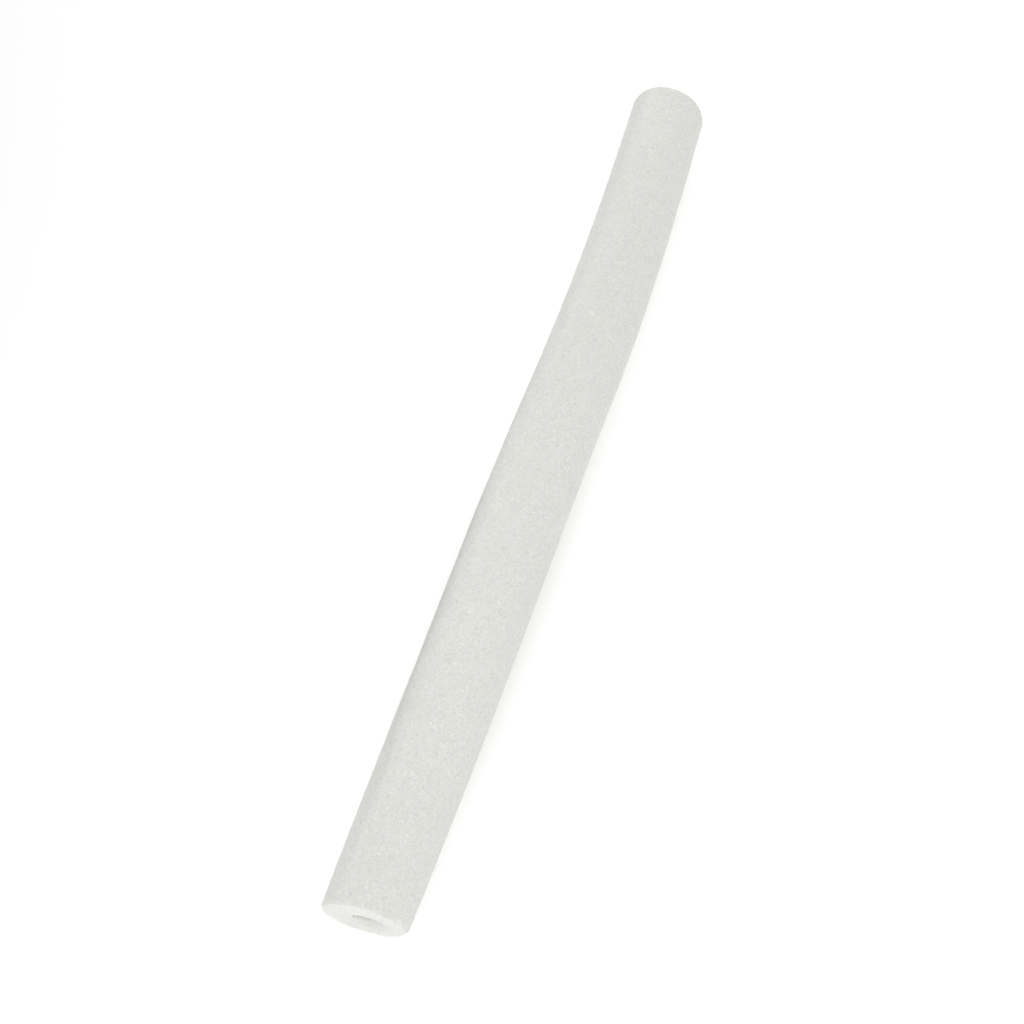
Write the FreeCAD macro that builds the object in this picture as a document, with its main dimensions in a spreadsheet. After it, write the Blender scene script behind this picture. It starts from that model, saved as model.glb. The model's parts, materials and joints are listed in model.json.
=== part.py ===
import FreeCAD, Part
import os
import sys
import math

import Sketcher

# Hollow foam tube: one length of closed-cell polyethylene foam, extruded
# through a round die with a round mandrel and cut off at both ends.
#
# The tube lies on the ground along X. Its two end stretches are straight,
# and between them it keeps a slight set, a gentle bend one way and a longer
# one back. The first end is at +X.
#
# Frame: +X towards the first end, +Z up, origin on the ground under the
# middle of the tube's footprint. Millimetres.

doc = FreeCAD.newDocument("FoamTube")

# ---------------------------------------------------------------- dimensions
sheet = doc.addObject("Spreadsheet::Sheet", "Dimensions")
rows = [
    ("outer_dia", 70.0, "outside diameter of the extrusion"),
    ("bore_dia", 24.0, "diameter of the bore left by the mandrel"),
    ("first_straight", 325.0, "straight stretch behind the first end"),
    ("easy_bend_end", 465.0, "where the easy bend stops, from the first end"),
    ("easy_bend_rad", 6260.0, "radius of the easy bend's centreline"),
    ("main_bend_end", 697.0, "where the main bend stops, from the first end"),
    ("main_bend_rad", 3040.0, "radius of the main bend's centreline"),
    ("tube_end", 799.8, "the second end, from the first end"),
    ("rim_round", 2.7, "rounding of the cut ends' outer edges"),
    ("bore_round", 1.2, "rounding of the bore's lips"),
]
size = {}
for i, (alias, value, note) in enumerate(rows, start=1):
    sheet.set("A%d" % i, alias)
    sheet.set("B%d" % i, "%g" % value)
    sheet.set("C%d" % i, note)
    sheet.setAlias("B%d" % i, alias)
    size[alias] = value
doc.recompute()


def origin_plane(body, role):
    for feature in body.Origin.OriginFeatures:
        if feature.Role == role:
            return feature
    raise RuntimeError("no origin plane " + role)


def named(sketch, constraint, name, expression):
    # a driving dimension of a sketch, bound to a cell of the sheet
    index = sketch.addConstraint(constraint)
    sketch.renameConstraint(index, name)
    sketch.setExpression("Constraints." + name, expression)
    return index


# ----------------------------------------------------------------- the tube
tube = doc.addObject("PartDesign::Body", "FoamTubeBody")
tube.Label = "foam_tube"

# Centreline, seen from above: straight, easy bend, main bend, straight, each
# tangent to the next. The first end is at the body's origin and the first
# stretch runs along -X.
x1 = -size["first_straight"]
x2 = -size["easy_bend_end"]
x3 = -size["main_bend_end"]
x4 = -size["tube_end"]
r1 = size["easy_bend_rad"]
r2 = size["main_bend_rad"]
turn1 = math.asin((x1 - x2) / r1)
c1 = (x1, r1)                                   # centre of the easy bend
p2 = (x2, c1[1] - r1 * math.cos(turn1))
c2 = (c1[0] + (p2[0] - c1[0]) * (r1 + r2) / r1,
      c1[1] + (p2[1] - c1[1]) * (r1 + r2) / r1)  # centre of the main bend
turn2 = math.asin((c2[0] - x3) / r2)
p3 = (x3, c2[1] + r2 * math.cos(turn2))
p4 = (x4, p3[1] - math.tan(turn2) * (x3 - x4))

path = tube.newObject("Sketcher::SketchObject", "Centreline")
path.AttachmentSupport = [(origin_plane(tube, "XY_Plane"), "")]
path.MapMode = "FlatFace"
V = FreeCAD.Vector
line1 = path.addGeometry(Part.LineSegment(V(0, 0, 0), V(x1, 0, 0)))
# the easy bend's centre is on the +Y side: its arc runs from p2 to p1
a_start = math.atan2(p2[1] - c1[1], p2[0] - c1[0]) % (2 * math.pi)
a_end = math.atan2(0 - c1[1], x1 - c1[0]) % (2 * math.pi)
arc1 = path.addGeometry(Part.ArcOfCircle(
    Part.Circle(V(c1[0], c1[1], 0), V(0, 0, 1), r1), a_start, a_end))
# the main bend's centre is on the -Y side: its arc runs from p2 to p3
b_start = math.atan2(p2[1] - c2[1], p2[0] - c2[0]) % (2 * math.pi)
b_end = math.atan2(p3[1] - c2[1], p3[0] - c2[0]) % (2 * math.pi)
arc2 = path.addGeometry(Part.ArcOfCircle(
    Part.Circle(V(c2[0], c2[1], 0), V(0, 0, 1), r2), b_start, b_end))
line2 = path.addGeometry(Part.LineSegment(V(p3[0], p3[1], 0), V(p4[0], p4[1], 0)))

path.addConstraint(Sketcher.Constraint("Coincident", line1, 1, -1, 1))
path.addConstraint(Sketcher.Constraint("Horizontal", line1))
path.addConstraint(Sketcher.Constraint("Tangent", line1, 2, arc1, 2))
path.addConstraint(Sketcher.Constraint("Tangent", arc1, 1, arc2, 1))
path.addConstraint(Sketcher.Constraint("Tangent", arc2, 2, line2, 1))
named(path, Sketcher.Constraint("Radius", arc1, r1), "easy_rad", "Dimensions.easy_bend_rad")
named(path, Sketcher.Constraint("Radius", arc2, r2), "main_rad", "Dimensions.main_bend_rad")
named(path, Sketcher.Constraint("DistanceX", line1, 2, -1, 1, size["first_straight"]),
      "straight_end", "Dimensions.first_straight")
named(path, Sketcher.Constraint("DistanceX", arc1, 1, -1, 1, size["easy_bend_end"]),
      "easy_end", "Dimensions.easy_bend_end")
named(path, Sketcher.Constraint("DistanceX", arc2, 2, -1, 1, size["main_bend_end"]),
      "main_end", "Dimensions.main_bend_end")
named(path, Sketcher.Constraint("DistanceX", line2, 2, -1, 1, size["tube_end"]),
      "far_end", "Dimensions.tube_end")
doc.recompute()

# The die's section: outside circle and bore, square to the centreline.
section = tube.newObject("Sketcher::SketchObject", "OuterSection")
section.AttachmentSupport = [(origin_plane(tube, "YZ_Plane"), "")]
section.MapMode = "FlatFace"
outer = section.addGeometry(Part.Circle(V(0, 0, 0), V(0, 0, 1), size["outer_dia"] / 2))
section.addConstraint(Sketcher.Constraint("Coincident", outer, 3, -1, 1))
named(section, Sketcher.Constraint("Diameter", outer, size["outer_dia"]), "od",
      "Dimensions.outer_dia")

mandrel = tube.newObject("Sketcher::SketchObject", "BoreSection")
mandrel.AttachmentSupport = [(origin_plane(tube, "YZ_Plane"), "")]
mandrel.MapMode = "FlatFace"
inner = mandrel.addGeometry(Part.Circle(V(0, 0, 0), V(0, 0, 1), size["bore_dia"] / 2))
mandrel.addConstraint(Sketcher.Constraint("Coincident", inner, 3, -1, 1))
named(mandrel, Sketcher.Constraint("Diameter", inner, size["bore_dia"]), "id",
      "Dimensions.bore_dia")
doc.recompute()

# Extruded foam, full section first, then the mandrel's bore.
solid = tube.newObject("PartDesign::AdditivePipe", "Extrusion")
solid.Profile = section
solid.Spine = (path, [])
doc.recompute()
full = solid.Shape.Volume

bore = tube.newObject("PartDesign::SubtractivePipe", "Bore")
bore.Profile = mandrel
bore.Spine = (path, [])
doc.recompute()
hollow = bore.Shape.Volume


def end_edges(feature, radius):
    # the circular edges of the given radius that lie in the two cut faces
    names = []
    ends = (V(0, 0, 0), V(p4[0], p4[1], 0))
    for k, edge in enumerate(feature.Shape.Edges, start=1):
        if len(edge.Vertexes) > 1:
            continue
        box = edge.BoundBox
        centre = V((box.XMin + box.XMax) / 2, (box.YMin + box.YMax) / 2, (box.ZMin + box.ZMax) / 2)
        if abs(box.ZLength / 2 - radius) < 0.2 and min(centre.distanceToPoint(q) for q in ends) < 0.5:
            names.append("Edge%d" % k)
    return names


# Cut ends: the knife leaves the outer rims softly rounded, and the bore's
# lips slightly so.
rims = tube.newObject("PartDesign::Fillet", "RimRounding")
rims.Base = (bore, end_edges(bore, size["outer_dia"] / 2))
rims.Radius = size["rim_round"]
rims.setExpression("Radius", "Dimensions.rim_round")
doc.recompute()

lips = tube.newObject("PartDesign::Fillet", "LipRounding")
lips.Base = (rims, end_edges(rims, size["bore_dia"] / 2))
lips.Radius = size["bore_round"]
lips.setExpression("Radius", "Dimensions.bore_round")
tube.Tip = lips
doc.recompute()

# Lay the tube on the ground: its chord from end to end along X, its
# underside at zero height, the middle of its footprint at the origin.
chord = math.degrees(math.atan2(-p4[1], -p4[0]))
tube.Placement = FreeCAD.Placement(V(0, 0, 0), FreeCAD.Rotation(V(0, 0, 1), -chord))
doc.recompute()
turned = Part.makeCompound([tube.Shape]).BoundBox
exact = tube.Shape.optimalBoundingBox(False, False)
shift = V(-(exact.XMin + exact.XMax) / 2, -(exact.YMin + exact.YMax) / 2, size["outer_dia"] / 2)
tube.Placement = FreeCAD.Placement(shift, FreeCAD.Rotation(V(0, 0, 1), -chord))
doc.recompute()

# ------------------------------------------------------------------- checks
for item in doc.Objects:
    bad = [word for word in item.State if word in ("Invalid", "Error")]
    if bad:
        print("failed:", item.Name, item.State)
        sys.exit(1)
for item in (tube,):
    if item.Shape.isNull() or not item.Shape.isValid():
        print("bad shape:", item.Label)
        sys.exit(1)
    if len(item.Shape.Solids) != 1:
        print("not one solid:", item.Label, len(item.Shape.Solids))
        sys.exit(1)

length = sum(edge.Length for edge in path.Shape.Edges)
ring = math.pi / 4 * (size["outer_dia"] ** 2 - size["bore_dia"] ** 2)
print("centreline length %.2f" % length)
print("turns %.3f and %.3f degrees" % (math.degrees(turn1), math.degrees(turn1) - math.degrees(turn2)))
print("full %.0f of %.0f, hollow %.0f of %.0f, with rounded ends %.0f" % (
    full, math.pi / 4 * size["outer_dia"] ** 2 * length, hollow, ring * length, tube.Shape.Volume))
if abs(hollow / (ring * length) - 1) > 0.001:
    print("the bore's volume is wrong")
    sys.exit(1)

place = tube.Placement
for label, point, back in (("first end", V(0, 0, 0), V(-1, 0, 0)),
                           ("second end", V(p4[0], p4[1], 0), V(p3[0] - p4[0], p3[1] - p4[1], 0))):
    back.normalize()
    centre = place.multVec(point)
    inward = place.Rotation.multVec(back)
    print("%s centre %.4f %.4f %.4f inward %.6f %.6f" % (
        label, centre.x, centre.y, centre.z, inward.x, inward.y))
for label, point in (("p1", (x1, 0)), ("p2", p2), ("p3", p3)):
    q = place.multVec(V(point[0], point[1], 0))
    print(label, "%.4f %.4f" % (q.x, q.y))
for label, point in (("c1", c1), ("c2", c2)):
    q = place.multVec(V(point[0], point[1], 0))
    print(label, "%.4f %.4f" % (q.x, q.y))

# ------------------------------------------------------------------- export
os.makedirs("parts", exist_ok=True)
for item in (tube,):
    item.Shape.exportStep("parts/%s.step" % item.Label)
    box = item.Shape.BoundBox
    print("%s %.2f x %.2f x %.2f mm, %.1f cm3" % (
        item.Label, box.XLength, box.YLength, box.ZLength, item.Shape.Volume / 1000))
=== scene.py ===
import json
import math

import bpy
import numpy as np
from mathutils import Matrix, Vector


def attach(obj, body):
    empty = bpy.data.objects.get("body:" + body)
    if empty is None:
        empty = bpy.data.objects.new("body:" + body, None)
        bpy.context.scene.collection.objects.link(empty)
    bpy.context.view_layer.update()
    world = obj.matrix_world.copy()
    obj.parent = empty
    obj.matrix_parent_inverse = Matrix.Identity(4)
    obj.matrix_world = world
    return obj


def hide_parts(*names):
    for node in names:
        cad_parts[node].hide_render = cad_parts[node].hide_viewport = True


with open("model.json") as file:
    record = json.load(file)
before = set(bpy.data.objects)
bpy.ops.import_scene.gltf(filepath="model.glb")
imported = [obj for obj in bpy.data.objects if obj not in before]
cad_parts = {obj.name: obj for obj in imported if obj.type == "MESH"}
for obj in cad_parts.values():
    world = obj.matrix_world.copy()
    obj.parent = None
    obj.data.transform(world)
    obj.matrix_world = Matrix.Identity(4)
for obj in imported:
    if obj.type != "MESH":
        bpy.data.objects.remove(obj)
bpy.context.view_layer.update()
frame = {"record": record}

# Hollow tube of extruded closed-cell polyethylene foam, lying on a pale floor.
# Everything is in metres, in the CAD frame: the first end is at +X.

# --------------------------------------------------------------------------
# camera: looks down along the tube from beyond the first end
# --------------------------------------------------------------------------
scene = bpy.context.scene
CAMERA = (0.63602, 0.18456, 1.15435)
AHEAD = (-0.9492261, -0.3145947)      # horizontal part of the view direction
DOWN = math.radians(61.224)
FOCAL = 1571.512 / 1024 * 36.0        # mm, on a sensor 36 mm wide

cam_data = bpy.data.cameras.new("Camera")
cam_data.sensor_fit = "HORIZONTAL"
cam_data.sensor_width = 36.0
cam_data.lens = FOCAL
cam_data.clip_start = 0.01
cam_data.clip_end = 100.0
cam_data.dof.use_dof = False
camera = bpy.data.objects.new("Camera", cam_data)
scene.collection.objects.link(camera)
look = Vector((AHEAD[0] * math.cos(DOWN), AHEAD[1] * math.cos(DOWN), -math.sin(DOWN))).normalized()
right = look.cross(Vector((0, 0, 1))).normalized()
up = right.cross(look)
turn = Matrix((right, up, -look)).transposed().to_4x4()
camera.matrix_world = Matrix.Translation(CAMERA) @ turn
scene.camera = camera

# --------------------------------------------------------------------------
# noise fields, all seeded
# --------------------------------------------------------------------------
MASK = np.uint64(0xFFFFFFFF)


def mix_bits(a, b, c, seed):
    """A 32-bit hash of three integer arrays."""
    n = (a.astype(np.int64).astype(np.uint64) * np.uint64(73856093)
         ^ b.astype(np.int64).astype(np.uint64) * np.uint64(19349663)
         ^ c.astype(np.int64).astype(np.uint64) * np.uint64(83492791)
         ^ np.uint64(seed * 2654435761 & 0xFFFFFFFF)) & MASK
    for _ in range(2):
        n = ((n ^ (n >> np.uint64(16))) * np.uint64(0x45D9F3B)) & MASK
    return n ^ (n >> np.uint64(16))


def unit(n, shift):
    """One number from 0 to 1 per hash."""
    n = ((n + np.uint64(shift) * np.uint64(0x9E3779B9)) * np.uint64(0x85EBCA6B)) & MASK
    n = ((n ^ (n >> np.uint64(13))) * np.uint64(0xC2B2AE35)) & MASK
    return (n ^ (n >> np.uint64(16))).astype(np.float64) / 4294967295.0


def smooth_noise(p, size, seed):
    """Gradient noise, about -1 to 1, with features of this size. p is n by 3, and size is a number or one for each axis."""
    q = p / np.asarray(size, float)
    i = np.floor(q).astype(np.int64)
    f = q - i
    w = f * f * f * (f * (f * 6 - 15) + 10)
    out = np.zeros(len(p))
    for dx in (0, 1):
        for dy in (0, 1):
            for dz in (0, 1):
                h = mix_bits(i[:, 0] + dx, i[:, 1] + dy, i[:, 2] + dz, seed)
                g = np.stack([unit(h, 1), unit(h, 2), unit(h, 3)], 1) * 2 - 1
                d = f - (dx, dy, dz)
                k = ((w[:, 0] if dx else 1 - w[:, 0]) * (w[:, 1] if dy else 1 - w[:, 1])
                     * (w[:, 2] if dz else 1 - w[:, 2]))
                out += k * (g * d).sum(1)
    return out * 1.6


def cells(p, size, seed):
    """Distances to the nearest and second nearest cell centre, in cell sizes, and a number from 0 to 1 for the nearest cell."""
    q = p / np.asarray(size, float)
    base = np.floor(q).astype(np.int64)
    near = np.full(len(p), 9.0)
    second = np.full(len(p), 9.0)
    own = np.zeros(len(p))
    for dx in (-1, 0, 1):
        for dy in (-1, 0, 1):
            for dz in (-1, 0, 1):
                c = base + (dx, dy, dz)
                h = mix_bits(c[:, 0], c[:, 1], c[:, 2], seed)
                at = c + np.stack([unit(h, 1), unit(h, 2), unit(h, 3)], 1)
                d = np.sqrt(((q - at) ** 2).sum(1))
                closer = d < near
                second = np.where(closer, near, np.minimum(second, d))
                own = np.where(closer, unit(h, 4), own)
                near = np.where(closer, d, near)
    return near, second, own


def ease(x, low, high):
    t = np.clip((x - low) / (high - low), 0.0, 1.0)
    return t * t * (3 - 2 * t)


# --------------------------------------------------------------------------
# the tube's line and thickness
# --------------------------------------------------------------------------
mounts = {m["name"]: m for m in frame["record"]["mounts"]}
first = mounts["first_end_face"]
start = np.array([first["pos_m"][0], first["pos_m"][1]])
heading = math.atan2(-first["axis"][1], -first["axis"][0])

# straight, easy bend, main bend, straight: length and curvature of each
RUNS = [(0.3250, 0.0), (0.14001, -1 / 6.260), (0.23203, 1 / 3.040), (0.10290, 0.0)]
step = 0.00025
line, angle, at, s = [], heading, start.copy(), 0.0
for length, bend in RUNS:
    n = int(round(length / step))
    for _ in range(n):
        line.append((s, at[0], at[1], angle))
        d = length / n
        mid = angle + bend * d / 2
        at = at + d * np.array([math.cos(mid), math.sin(mid)])
        angle += bend * d
        s += d
line.append((s, at[0], at[1], angle))
line = np.array(line)
LENGTH = line[-1, 0]


def centre(s):
    """Centreline point in plan and heading, for distances from the first end. It goes on straight past both ends."""
    x = np.interp(s, line[:, 0], line[:, 1])
    y = np.interp(s, line[:, 0], line[:, 2])
    a = np.interp(s, line[:, 0], line[:, 3])
    over = np.minimum(s, 0) + np.maximum(s - LENGTH, 0)
    return x + over * np.cos(a), y + over * np.sin(a), a


# The foam is thinnest at the first end, where it shrank back after the cut,
# and fullest halfway along. It also wanders a little from its line.


def spline(xs, ys):
    """A natural cubic spline through these points."""
    xs, ys = np.array(xs, float), np.array(ys, float)
    n = len(xs)
    h = np.diff(xs)
    a, b = np.zeros((n, n)), np.zeros(n)
    a[0, 0] = a[-1, -1] = 1
    for i in range(1, n - 1):
        a[i, i - 1:i + 2] = h[i - 1], 2 * (h[i - 1] + h[i]), h[i]
        b[i] = 6 * ((ys[i + 1] - ys[i]) / h[i] - (ys[i] - ys[i - 1]) / h[i - 1])
    m = np.linalg.solve(a, b)

    def value(x):
        x = np.clip(x, xs[0], xs[-1])
        i = np.clip(np.searchsorted(xs, x) - 1, 0, n - 2)
        f, g, d = x - xs[i], xs[i + 1] - x, h[i]
        return ((m[i] * g ** 3 + m[i + 1] * f ** 3) / (6 * d) + (ys[i] / d - m[i] * d / 6) * g
                + (ys[i + 1] / d - m[i + 1] * d / 6) * f)
    return value


radius = spline(np.array([0, 0.05, 0.12, 0.25, 0.40, 0.55, 0.70, 0.85, 0.95, 1.0]) * LENGTH,
                np.array([32.49, 33.41, 34.27, 35.40, 35.88, 35.79, 35.34, 34.64, 34.31, 34.18]) / 1000)
sway = spline(np.array([0, 0.12, 0.25, 0.40, 0.55, 0.70, 0.85, 1.0]) * LENGTH,
              np.array([-1.07, -0.45, -0.03, -0.06, -0.10, -0.27, -0.03, 0.00]) / 1000)

BORE = 0.01195                    # bore radius
LIP = 0.0012                      # rounding of the bore's lips
WORN = 0.0068                     # how much rounder the lip is worn on its lower side
RIM = (0.0028, 0.0027)            # rounding of the outer edges, first and second end
RIM_SIDE = (0.0017, 0.0)          # how much rounder they are on one side
ENDS = (0.00047, LENGTH + 0.00156)
SKEW = (0.0475, -0.036)           # how far each cut is off square, seen from above
TILT = (0.019, 0.084)             # and seen from the side
WARP = (0.00126, -0.0002)         # how far each cut curls at its sides
OFF_AXIS = (0.0024, -0.0008)      # how far off centre the bore is at the first end
SETTLE = 0.0003                   # how far the foam's underside is pressed flat

# --------------------------------------------------------------------------
# rings: the closed section goes out of the bore at the first end, round the
# rim, along the skin, round the far rim and back through the bore
# --------------------------------------------------------------------------
MAT_SKIN, MAT_CUT, MAT_BORE = 0, 1, 2
K = 1
SEG_SKIN, SEG_CUT, SEG_BORE = 256 // K, 512 // K, 128 // K


def end_rings(end):
    """Rings of one cut end, from the bore's lip out to the skin: zone, how far through it, segments, material, end."""
    out = []
    for k in range(0, 9):
        out.append(("lip", k / 8, SEG_BORE * 2 if k > 3 else SEG_BORE, MAT_BORE if k < 4 else MAT_CUT, end))
    n = int(round((0.0325 - RIM[end] - BORE - LIP) / (0.00036 * K)))
    for k in range(1, n):
        out.append(("face", k / n, SEG_CUT if k / n > 0.25 else SEG_CUT // 2, MAT_CUT, end))
    m = 10
    for k in range(0, m + 1):
        out.append(("rim", k / m, SEG_CUT if k <= m * 0.6 else SEG_SKIN, MAT_CUT if k <= m * 0.25 else MAT_SKIN, end))
    return out


n = int(round(LENGTH / (0.00086 * K)))
skin = [("skin", k / n, SEG_SKIN, MAT_SKIN, -1) for k in range(1, n)]
# the bore's rings are close near the mouths and wider apart inside
inner, gap = [LIP], 0.0007 * K
while inner[-1] < LENGTH / 2:
    inner.append(inner[-1] + gap)
    gap = min(gap * 1.02, 0.004) if inner[-1] > 0.03 else gap
inner = [(v - LIP) / (LENGTH - 2 * LIP) for v in inner[1:-1]]
inner = inner + [1 - v for v in reversed(inner)]
back = [("bore", v, SEG_BORE, MAT_BORE, -1) for v in reversed(inner)]
loop = end_rings(0) + skin + list(reversed(end_rings(1))) + back

ZONES = ("lip", "face", "rim", "skin", "bore")
R_ZONE = np.array([ZONES.index(r[0]) for r in loop])
R_T = np.array([r[1] for r in loop])
R_SEG = np.array([r[2] for r in loop])
R_MAT = np.array([r[3] for r in loop])
R_END = np.array([r[4] for r in loop])


def section(zone, t, end, side, down):
    """Distance along, radius, and the normal's parts along and outward, for points of the plain tube."""
    worn = WORN * np.clip(0.5 + 0.5 * (0.82 * down + 0.57 * side), 0, 1) ** 2.3
    lip_0, lip_1 = LIP + worn, LIP + worn * 0.5
    lip = np.where(end == 0, lip_0, lip_1)
    far = end == 1
    base = np.where(far, ENDS[1], ENDS[0])
    into = np.where(far, -1.0, 1.0)
    bulk = np.clip(side, 0, 1) ** 1.5
    g0, g1 = RIM[0] + RIM_SIDE[0] * bulk, RIM[1] + RIM_SIDE[1] * bulk
    g = np.where(far, g1, g0)
    a = t * math.pi / 2
    outer = radius(base)
    s = np.select([zone == 0, zone == 1, zone == 2, zone == 3],
                  [base + into * lip * (1 - np.sin(a)), base, base + into * g * (1 - np.cos(a)),
                   ENDS[0] + g0 + (ENDS[1] - g1 - ENDS[0] - g0) * t],
                  ENDS[0] + lip_0 + (ENDS[1] - ENDS[0] - lip_0 - lip_1) * t)
    r = np.select([zone == 0, zone == 1, zone == 2, zone == 3],
                  [BORE + lip * (1 - np.cos(a)), BORE + lip + (outer - g - BORE - lip) * t,
                   radius(s) - g + g * np.sin(a), radius(s)], BORE + 0 * s)
    along = np.select([zone == 0, zone == 1, zone == 2], [-into * np.sin(a), -into, -into * np.cos(a)], 0.0)
    out = np.select([zone == 0, zone == 1, zone == 2, zone == 3], [-np.cos(a), 0 * a, np.sin(a), 1 + 0 * a], -1.0)
    return s, r, along, out


R_S, R_R, R_NS, R_NR = section(R_ZONE, R_T, R_END, np.zeros(len(loop)), np.full(len(loop), -1.0))
offset = np.concatenate([[0], np.cumsum(R_SEG)])[:-1]
total = int(R_SEG.sum())

ring_of = np.repeat(np.arange(len(loop)), R_SEG)
seg_i = np.arange(total) - offset[ring_of]
theta = seg_i / R_SEG[ring_of] * 2 * np.pi
side, ver = np.sin(theta), -np.cos(theta)     # the seam is at the underside
zone_v, t_v, end_v, mat_v = R_ZONE[ring_of], R_T[ring_of], R_END[ring_of], R_MAT[ring_of]
vs, vr, ns, nr = section(zone_v, t_v, end_v, side, -ver)

# material coordinates: along, across and up in the tube's own section
P = np.stack([vs, vr * side, vr * ver], 1)
in_bore = zone_v == 4
at_first = np.exp(-np.abs(vs - ENDS[0]) / 0.012)
at_second = np.exp(-np.abs(vs - ENDS[1]) / 0.012)

# the bore runs a little off centre, most at the first end
inward = np.select([zone_v <= 0, zone_v == 1, zone_v == 4], [1.0, 1 - t_v, 1.0], 0.0)
drift = np.select([end_v == 0, end_v == 1], [1.0, -0.35], -0.35 + 1.35 * np.exp(-np.maximum(vs, 0) / 0.22)) * inward
across = vr * side + OFF_AXIS[0] * drift
upward = vr * ver + OFF_AXIS[1] * drift

# the cuts are a little off square and not quite flat
curl = (across / 0.034)
shift_s = (at_first * (SKEW[0] * across + TILT[0] * upward + WARP[0] * curl ** 3)
           + at_second * (SKEW[1] * across + TILT[1] * upward + WARP[1] * curl ** 2))
wave = smooth_noise(P * (0, 1, 1) + (0, 0.2, 0.3), 0.021, 11) * 0.00030
wave = wave + smooth_noise(P * (0, 1, 1), 0.009, 12) * 0.00012
shift_s = shift_s + wave * (at_second - at_first)

# slow unevenness of the extrusion
slow = (smooth_noise(P, (0.150, 0.045, 0.045), 21) * 0.00036
        + smooth_noise(P, (0.055, 0.022, 0.022), 22) * 0.00018
        + smooth_noise(P, (0.400, 0.008, 0.008), 23) * 0.00007
        + smooth_noise(P, (0.013, 0.010, 0.010), 24) * 0.00004)
slow = slow * np.where(in_bore, 0.6, 1.0)

# the skin is pebbled over the cells; the knife leaves the cells open on the cuts
n1, n2, own = cells(P, (0.0052, 0.0040, 0.0040), 31)
pebble = (0.5 - n1) * 0.00008 - (1 - ease(n2 - n1, 0.0, 0.30)) * 0.00003
sunk = ease(own, 0.84, 0.97) * ease(n2 - n1, 0.05, 0.45)
fine = smooth_noise(P, (0.0020, 0.0018, 0.0018), 32) * 0.00007
behind = np.minimum(vs - ENDS[0], ENDS[1] - vs)
crimp = np.sin(2 * np.pi * behind / 0.0031 + 4.0 * smooth_noise(P, (0.010, 0.012, 0.012), 33))
crimp = crimp * ease(smooth_noise(P, (0.012, 0.014, 0.014), 34), -0.1, 0.5) * np.exp(-np.maximum(behind - 0.002, 0) / 0.006)
# fainter and wider apart further along, where the foam was drawn through the die
ripple = np.sin(2 * np.pi * vs / 0.0036 + 6.0 * smooth_noise(P, (0.011, 0.015, 0.015), 35))
ripple = ripple * ease(smooth_noise(P, (0.016, 0.020, 0.020), 36), -0.15, 0.55)
ripple = ripple * (0.25 + 0.75 * np.exp(-np.maximum(behind, 0) / 0.090))
relief_skin = pebble - sunk * 0.00008 + fine + crimp * 0.00016 + ripple * 0.00006
c1, c2, own_c = cells(P + (0.7, 0.3, 0.1), 0.00215, 41)
wall = 1 - ease(c2 - c1, 0.03, 0.30)
deep = 0.35 + 0.65 * own_c
relief_cut = -(1 - wall) * deep * 0.00042 + smooth_noise(P, 0.0009, 42) * 0.00003
to_cut = np.where(in_bore, 0.0, ease(np.abs(ns), 0.25, 0.85))
relief = relief_skin * (1 - to_cut) + relief_cut * to_cut
relief = np.where(in_bore, relief * 0.8, relief)
push = relief + slow * np.where(np.abs(ns) > 0.5, 0.3, 1.0)

# how hollow each spot is, carried on the mesh for the materials: the creases, sunk cells, ripple troughs and open cut
# pits get painted shade
hint_skin = 0.25 * (1 - ease(n2 - n1, 0.0, 0.30)) + 0.28 * sunk + np.clip(-ripple, 0, 1) * 0.45
hint_cut = (1 - wall) * (0.35 + 0.65 * deep)
hint = hint_skin * (1 - to_cut) + hint_cut * to_cut

# painted shade: the foam is made a little darker underneath, and up one side, most between a sixth and half of the way
# along, standing in for the shade that falls there
rise = np.degrees(np.arcsin(np.clip(ver, -1, 1)))
mark = [0, 0.05, 0.08, 0.113, 0.147, 0.181, 0.235, 0.29, 0.328, 0.367, 0.408, 0.45, 0.50, 0.58, 0.68, 0.80]
high = np.interp(vs, mark, [61, 65, 68, 72, 74, 70, 66, 67, 65, 65, 62, 61, 61, 63, 65, 67])
steep = np.interp(vs, mark, [2.2, 2.3, 2.4, 2.0, 1.5, 1.6, 2.2, 2.3, 2.1, 1.25, 1.35, 1.4, 1.8, 2.3, 2.3, 2.5])
most = np.interp(vs, mark, [0.17, 0.26, 0.34, 0.50, 0.78, 1.04, 1.22, 1.28, 1.22, 1.04, 0.86, 0.58, 0.32, 0.24, 0.28, 0.38])
low = np.interp(vs, [0, 0.38, 0.50, 0.60], [21, 21, 0, -30])
reach = np.where(side < 0, high, low) + 4.0 * smooth_noise(P, (0.050, 0.030, 0.030), 51)
painted_shade = np.minimum(np.clip((reach - rise) / 55, 0, 3) ** 2 * steep, most)
painted_shade = painted_shade * np.select([in_bore, zone_v == 3, zone_v == 2], [0.0, 1.0, nr], 0.0)

s_all = vs + shift_s + push * ns
across = across + push * nr * side + sway(s_all)
upward = upward + push * nr * ver
cx, cy, ca = centre(s_all)
# the section stands square to the centreline, and rests on the floor
X = cx + across * np.sin(ca)
Y = cy - across * np.cos(ca)
Z = radius(vs) - SETTLE + upward
# pressed flat where it touches the floor
Z = np.where(Z < 0.0006, 0.0006 * np.exp((np.minimum(Z, 0.0006) - 0.0006) / 0.0006), Z)
co = np.stack([X, Y, Z], 1)

# --------------------------------------------------------------------------
# faces, with each ring stitched to the next
# --------------------------------------------------------------------------
ATLAS = 0.490
quads, quad_uv, quad_mat, tris, tri_uv, tri_mat = [], [], [], [], [], []


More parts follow.
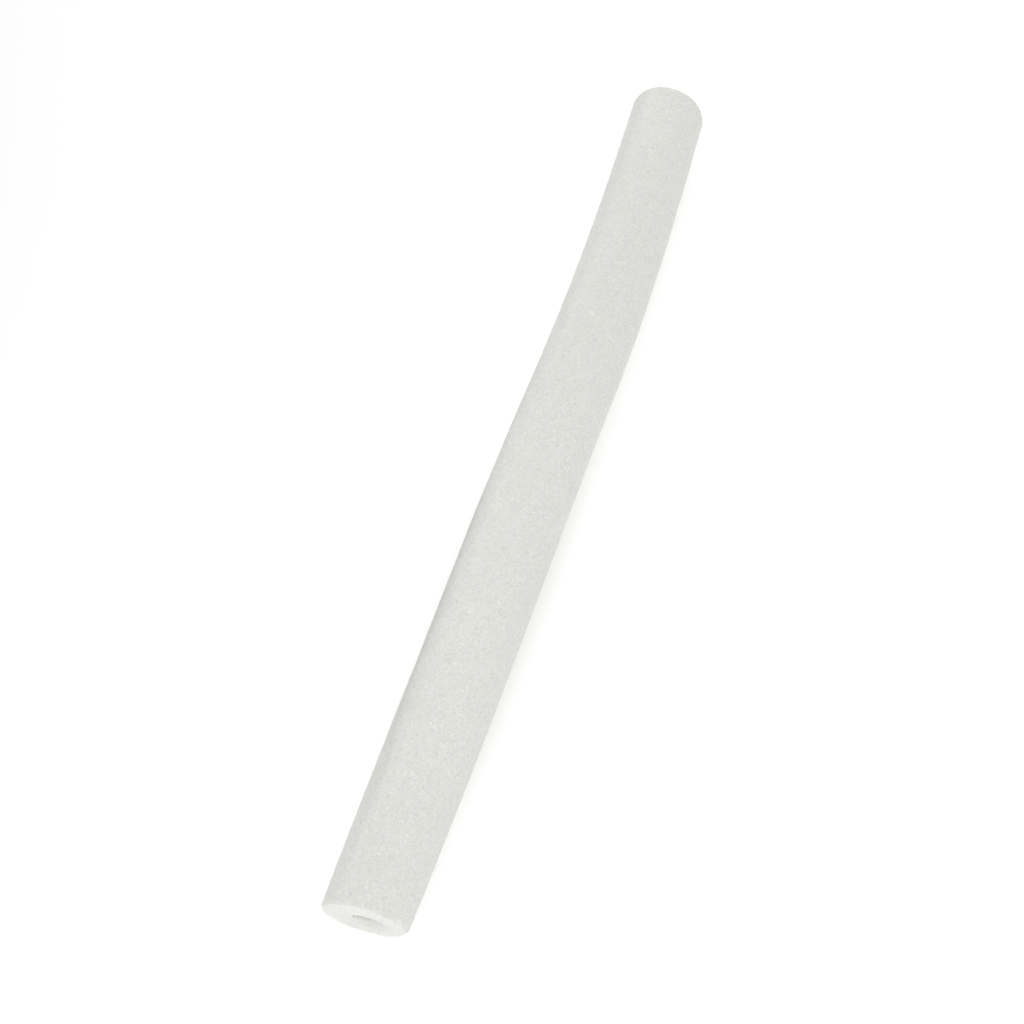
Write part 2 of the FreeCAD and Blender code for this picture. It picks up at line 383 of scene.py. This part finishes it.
def flat_place(j, u, toward):
    """Where ring j lies in the flat layout at turn u (0 to 1), for a face that belongs to the zone of ring toward."""
    mat, end = R_MAT[toward], R_END[toward]
    if end >= 0 and mat != MAT_BORE:
        # cut end with its rim: a disc, the rounding laid out flat
        flat = R_R[j]
        if R_ZONE[j] >= 2 and R_ZONE[j] != 4:
            a = math.atan2(R_NR[j], abs(R_NS[j]))
            flat = R_R[j] - RIM[end] * math.sin(a) + RIM[end] * a
        if R_ZONE[j] == 3:
            flat += abs(R_S[j] - R_S[toward])
        x0 = 0.0385 + 0.079 * end
        return x0 + flat * np.sin(u * 2 * np.pi), 0.4465 - flat * np.cos(u * 2 * np.pi)
    if mat == MAT_BORE:
        return 0.4510 + 0.0370 * u, 0.0020 + R_S[j] * 0.495
    block = min(int(R_S[toward] / LENGTH * 4), 3)
    along = R_S[j] - block * LENGTH / 4
    return ((block % 2) * 0.2245 + 0.0010 + 0.2195 * u, (block // 2) * 0.2035 + 0.0015 + along)


def zone(j, k):
    """The ring whose zone a face between rings j and k belongs to."""
    for r in (j, k):
        if R_END[r] >= 0:
            return r
    return j


count = len(loop)
for j in range(count):
    k = (j + 1) % count
    na, nb = R_SEG[j], R_SEG[k]
    a0, b0 = offset[j], offset[k]
    z = zone(j, k)
    m = R_MAT[z]
    if R_END[z] < 0:
        m = R_MAT[j]
    if na == nb:
        i = np.arange(na)
        i1 = (i + 1) % na
        quads.append(np.stack([a0 + i, b0 + i, b0 + i1, a0 + i1], 1))
        uj0, vj0 = flat_place(j, i / na, z); uj1, vj1 = flat_place(j, (i + 1) / na, z)
        uk0, vk0 = flat_place(k, i / na, z); uk1, vk1 = flat_place(k, (i + 1) / na, z)
        w = np.zeros((na, 4, 2))
        w[:, 0, 0], w[:, 0, 1] = uj0, vj0
        w[:, 1, 0], w[:, 1, 1] = uk0, vk0
        w[:, 2, 0], w[:, 2, 1] = uk1, vk1
        w[:, 3, 0], w[:, 3, 1] = uj1, vj1
        quad_uv.append(w)
        quad_mat.append(np.full(na, m))
    else:
        # twice as many on one side: three triangles for each coarse segment
        coarse_first = nb == 2 * na
        c, f = (j, k) if coarse_first else (k, j)
        nc = R_SEG[c]
        c0, f0 = offset[c], offset[f]
        i = np.arange(nc)
        ci, ci1 = c0 + i, c0 + (i + 1) % nc
        fi, fm, fi1 = f0 + 2 * i, f0 + 2 * i + 1, f0 + (2 * i + 2) % (2 * nc)
        pu = {}
        for name, ring, u in (("ci", c, i / nc), ("ci1", c, (i + 1) / nc), ("fi", f, i / nc),
                              ("fm", f, (i + 0.5) / nc), ("fi1", f, (i + 1) / nc)):
            pu[name] = flat_place(ring, u, z)
        ids = {"ci": ci, "ci1": ci1, "fi": fi, "fm": fm, "fi1": fi1}
        for names in (("ci", "fi", "fm"), ("ci", "fm", "ci1"), ("ci1", "fm", "fi1")):
            order = names if coarse_first else names[::-1]
            tris.append(np.stack([ids[x] for x in order], 1))
            w = np.zeros((nc, 3, 2))
            for q, x in enumerate(order):
                w[:, q, 0], w[:, q, 1] = pu[x]
            tri_uv.append(w)
            tri_mat.append(np.full(nc, m))

quads = np.concatenate(quads); quad_uv = np.concatenate(quad_uv) / ATLAS; quad_mat = np.concatenate(quad_mat)
tris = np.concatenate(tris); tri_uv = np.concatenate(tri_uv) / ATLAS; tri_mat = np.concatenate(tri_mat)

mesh = bpy.data.meshes.new("foam_tube_skin")
mesh.vertices.add(total)
mesh.vertices.foreach_set("co", co.astype(np.float32).ravel())
loops = np.concatenate([quads.ravel(), tris.ravel()]).astype(np.int32)
mesh.loops.add(len(loops))
mesh.loops.foreach_set("vertex_index", loops)
faces = len(quads) + len(tris)
mesh.polygons.add(faces)
starts = np.concatenate([np.arange(len(quads)) * 4, len(quads) * 4 + np.arange(len(tris)) * 3]).astype(np.int32)
mesh.polygons.foreach_set("loop_start", starts)
mesh.polygons.foreach_set("material_index", np.concatenate([quad_mat, tri_mat]).astype(np.int32))
mesh.polygons.foreach_set("use_smooth", np.ones(faces, bool))
flat = mesh.uv_layers.new(name="OFBake")
flat.uv.foreach_set("vector", np.concatenate([quad_uv.reshape(-1), tri_uv.reshape(-1)]).astype(np.float32))
shade = mesh.attributes.new("cell_shade", "FLOAT", "POINT")
shade.data.foreach_set("value", hint.astype(np.float32))
# the painted shade underneath and up one side, carried on the mesh for the materials
painted_shade_attr = mesh.attributes.new("painted_shade", "FLOAT", "POINT")
painted_shade_attr.data.foreach_set("value", painted_shade.astype(np.float32))
mesh.update(calc_edges=True)
mesh.validate()

tube = bpy.data.objects.new("foam_tube_body", mesh)
scene.collection.objects.link(tube)

# --------------------------------------------------------------------------
# foam materials
# --------------------------------------------------------------------------


def node(nt, kind, **inputs):
    made = nt.nodes.new(kind)
    for name, value in inputs.items():
        made.inputs[name.replace("_", " ")].default_value = value
    return made


def scaled(nt, source, low, high, to_low, to_high, smooth=False):
    made = nt.nodes.new("ShaderNodeMapRange")
    if smooth:
        made.interpolation_type = "SMOOTHSTEP"
    for name, value in (("From Min", low), ("From Max", high), ("To Min", to_low), ("To Max", to_high)):
        made.inputs[name].default_value = value
    nt.links.new(source, made.inputs["Value"])
    return made.outputs["Result"]


def summed(nt, sources):
    total_so_far = sources[0]
    for source in sources[1:]:
        made = nt.nodes.new("ShaderNodeMath")
        made.operation = "ADD"
        nt.links.new(total_so_far, made.inputs[0])
        nt.links.new(source, made.inputs[1])
        total_so_far = made.outputs[0]
    return total_so_far


def foam(name, light, dark, cell, stretch, hollow, crease, spread, grain, cloud, rough, bump, glow):
    """Closed-cell foam: light cell walls, painted shade in the creases and hollows, cells that differ with painted
    glints on the glossiest, slow clouding, fine grain, and the mesh's painted shade underneath and up one side.
    """
    mat = bpy.data.materials.new(name)
    mat.use_nodes = True
    nt = mat.node_tree
    p = nt.nodes["Principled BSDF"]
    where = nt.nodes.new("ShaderNodeTexCoord")
    drawn = nt.nodes.new("ShaderNodeMapping")
    drawn.inputs["Scale"].default_value = (1 / stretch, 1, 1)
    nt.links.new(where.outputs["Object"], drawn.inputs["Vector"])
    carried = nt.nodes.new("ShaderNodeAttribute")
    carried.attribute_type = "GEOMETRY"
    carried.attribute_name = "cell_shade"
    painted_shade_node = nt.nodes.new("ShaderNodeAttribute")
    painted_shade_node.attribute_type = "GEOMETRY"
    painted_shade_node.attribute_name = "painted_shade"

    # uneven edges: the cells are pushed about by a fine noise before they are drawn
    jitter = node(nt, "ShaderNodeTexNoise", Scale=900.0, Detail=1.0)
    nt.links.new(drawn.outputs["Vector"], jitter.inputs["Vector"])
    moved = nt.nodes.new("ShaderNodeVectorMath")
    moved.operation = "MULTIPLY_ADD"
    moved.inputs[1].default_value = (cell * 0.30,) * 3
    nt.links.new(jitter.outputs["Color"], moved.inputs[0])
    nt.links.new(drawn.outputs["Vector"], moved.inputs[2])

    edge = node(nt, "ShaderNodeTexVoronoi", Scale=1 / cell)
    edge.feature = "DISTANCE_TO_EDGE"
    body = node(nt, "ShaderNodeTexVoronoi", Scale=1 / cell)
    small = node(nt, "ShaderNodeTexVoronoi", Scale=2.15 / cell)
    small.feature = "DISTANCE_TO_EDGE"
    for n in (edge, body, small):
        nt.links.new(moved.outputs["Vector"], n.inputs["Vector"])
    clouds = node(nt, "ShaderNodeTexNoise", Scale=34.0, Detail=3.0, Roughness=0.55)
    speck = node(nt, "ShaderNodeTexNoise", Scale=1500.0, Detail=2.0, Roughness=0.6)
    for n in (clouds, speck):
        nt.links.new(where.outputs["Object"], n.inputs["Vector"])
    each = nt.nodes.new("ShaderNodeSeparateColor")
    nt.links.new(body.outputs["Color"], each.inputs["Color"])

    # how much of the darker tone shows: painted shade in the hollows and creases, cells that differ, painted glints on
    # the glossiest cells, grain and clouding
    shade = summed(nt, [
        scaled(nt, carried.outputs["Fac"], 0.0, 1.0, 0.0, hollow),
        # painted shade along the cell creases, where the bump is lowest
        scaled(nt, edge.outputs["Distance"], 0.0, 0.16, crease, 0.0, True),
        scaled(nt, small.outputs["Distance"], 0.0, 0.14, crease * 0.35, 0.0, True),
        scaled(nt, each.outputs[0], 0.40, 1.0, 0.0, spread, True),
        scaled(nt, each.outputs[2], 0.90, 0.97, 0.0, spread * 1.5, True),
        # the glossiest cells are painted lighter: a painted glint
        scaled(nt, each.outputs[1], 0.03, 0.09, spread * -2.0, 0.0, True),
        scaled(nt, speck.outputs["Fac"], 0.30, 0.72, 0.0, grain),
        scaled(nt, clouds.outputs["Fac"], 0.35, 0.68, 0.0, cloud)])
    tone = nt.nodes.new("ShaderNodeMix")
    tone.data_type = "RGBA"
    tone.clamp_factor = True
    tone.inputs[6].default_value = (*light, 1)
    tone.inputs[7].default_value = (*dark, 1)
    nt.links.new(shade, tone.inputs[0])
    # painted shade: the tone is multiplied darker where the mesh carries painted shade, underneath and up one side
    painted_shade_mix = nt.nodes.new("ShaderNodeMix")
    painted_shade_mix.data_type = "RGBA"
    painted_shade_mix.blend_type = "MULTIPLY"
    painted_shade_mix.inputs[7].default_value = (0.640, 0.640, 0.642, 1)
    nt.links.new(scaled(nt, painted_shade_node.outputs["Fac"], 0.0, 1.8, 0.0, 1.0), painted_shade_mix.inputs[0])
    nt.links.new(tone.outputs[2], painted_shade_mix.inputs[6])
    nt.links.new(painted_shade_mix.outputs[2], p.inputs["Base Color"])

    # some cells' films are glossier than others
    nt.links.new(scaled(nt, each.outputs[1], 0.0, 1.0, rough[0], rough[1]), p.inputs["Roughness"])

    high = summed(nt, [
        scaled(nt, edge.outputs["Distance"], 0.0, 0.42, 0.0, 1.0, True),
        scaled(nt, small.outputs["Distance"], 0.0, 0.30, 0.0, 0.30, True),
        scaled(nt, speck.outputs["Fac"], 0.25, 0.75, 0.0, 0.22),
        scaled(nt, each.outputs[2], 0.0, 1.0, 0.0, 0.55)])
    lift = node(nt, "ShaderNodeBump", Strength=1.0, Distance=bump)
    nt.links.new(high, lift.inputs["Height"])
    nt.links.new(lift.outputs["Normal"], p.inputs["Normal"])

    p.inputs["IOR"].default_value = 1.45
    p.inputs["Specular IOR Level"].default_value = 0.32
    p.inputs["Subsurface Weight"].default_value = glow[0]
    p.inputs["Subsurface Radius"].default_value = (1.0, 0.96, 0.88)
    p.inputs["Subsurface Scale"].default_value = glow[1]
    return mat


skin_mat = foam("foam_skin", (0.903, 0.911, 0.868), (0.640, 0.648, 0.612),
                0.0020, 1.00, 0.09, 0.38, 0.12, 0.12, 0.04, (0.45, 0.86), 0.00017, (0.40, 0.0035))
cut_mat = foam("foam_cut_face", (0.912, 0.920, 0.880), (0.700, 0.708, 0.672),
               0.0019, 1.0, 0.34, 0.12, 0.14, 0.12, 0.10, (0.66, 0.94), 0.00012, (0.55, 0.0050))
# the bore's foam is painted lighter than the skin: painted light that brightens the shaded bore and its lip
bore_mat = foam("foam_bore", (0.950, 0.957, 0.920), (0.740, 0.748, 0.712),
                0.0021, 1.35, 0.12, 0.18, 0.18, 0.14, 0.12, (0.50, 0.85), 0.00014, (0.85, 0.0070))
for m in (skin_mat, cut_mat, bore_mat):
    mesh.materials.append(m)

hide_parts("foam_tube")
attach(tube, "root")

# --------------------------------------------------------------------------
# floor, light
# --------------------------------------------------------------------------
floor_mesh = bpy.data.meshes.new("floor")
half = 30.0
floor_mesh.from_pydata([(-half, -half, 0), (half, -half, 0), (half, half, 0), (-half, half, 0)], [], [(0, 1, 2, 3)])
floor = bpy.data.objects.new("floor", floor_mesh)
floor.location = (0, 0, -0.0001)
scene.collection.objects.link(floor)
floor_mat = bpy.data.materials.new("pale_floor")
floor_mat.use_nodes = True
nt = floor_mat.node_tree
p = nt.nodes["Principled BSDF"]
where = nt.nodes.new("ShaderNodeTexCoord")
haze = node(nt, "ShaderNodeTexNoise", Scale=3.0, Detail=2.0)
nt.links.new(where.outputs["Object"], haze.inputs["Vector"])
ramp = nt.nodes.new("ShaderNodeMix"); ramp.data_type = "RGBA"
ramp.inputs[6].default_value = (0.955, 0.955, 0.955, 1)
ramp.inputs[7].default_value = (0.945, 0.945, 0.945, 1)
nt.links.new(haze.outputs["Fac"], ramp.inputs[0])
nt.links.new(ramp.outputs[2], p.inputs["Base Color"])
p.inputs["Roughness"].default_value = 0.9
p.inputs["Specular IOR Level"].default_value = 0.1
# a light table's faint glow keeps the ground white right up to the tube
p.inputs["Emission Color"].default_value = (1.0, 1.0, 1.0, 1)
away = nt.nodes.new("ShaderNodeVectorMath")
away.operation = "LENGTH"
nt.links.new(where.outputs["Object"], away.inputs[0])
nt.links.new(scaled(nt, away.outputs["Value"], 0.75, 1.70, 0.245, 0.90, True), p.inputs["Emission Strength"])
floor_mesh.materials.append(floor_mat)

world = bpy.data.worlds.new("studio")
scene.world = world
world.use_nodes = True
wt = world.node_tree
bg = wt.nodes["Background"]
bg.inputs["Color"].default_value = (1.0, 1.0, 1.0, 1)
sky = wt.nodes.new("ShaderNodeTexCoord")
parts = wt.nodes.new("ShaderNodeSeparateXYZ")
wt.links.new(sky.outputs["Generated"], parts.inputs["Vector"])
glow = scaled(wt, parts.outputs["Z"], 0.0, 0.55, 0.985, 0.207, True)
wt.links.new(glow, bg.inputs["Strength"])

RIGHT = (AHEAD[1], -AHEAD[0])


def softbox(name, size, energy, turn_deg, rise_deg, far=1.6, aim=(0, 0, 0)):
    """A square soft light aimed at the tube; turn 0 is beyond the second end, 90 is to the camera's right."""
    t, e = math.radians(turn_deg), math.radians(rise_deg)
    at = Vector((AHEAD[0] * math.cos(t) + RIGHT[0] * math.sin(t), AHEAD[1] * math.cos(t) + RIGHT[1] * math.sin(t), 0))
    beam = at * math.cos(e) * far + Vector((0, 0, math.sin(e) * far))
    data = bpy.data.lights.new(name, "AREA")
    data.shape = "SQUARE"
    data.size = size
    data.energy = energy
    ob = bpy.data.objects.new(name, data)
    scene.collection.objects.link(ob)
    ob.location = beam + Vector(aim)
    ob.rotation_euler = (-beam).to_track_quat("-Z", "Y").to_euler()
    ob.visible_camera = False
    return ob


softbox("front", 1.1, 3.2, 180, 38)
softbox("front_low", 0.7, 0.35, 180, 14)
softbox("front_left", 1.1, 3.0, 225, 38)
softbox("overhead", 1.1, 3.85, 180, 65)
softbox("right", 1.1, 4.85, 90, 65, aim=(-0.22, 0, 0))
softbox("back", 1.1, 8.2, 0, 38)
softbox("near_left", 0.30, 0.205, 262, 78, 0.50, (0.17, 0.0, 0.035))

scene.view_settings.view_transform = "Standard"
scene.view_settings.look = "None"
scene.view_settings.exposure = 0.0
scene.view_settings.gamma = 1.0
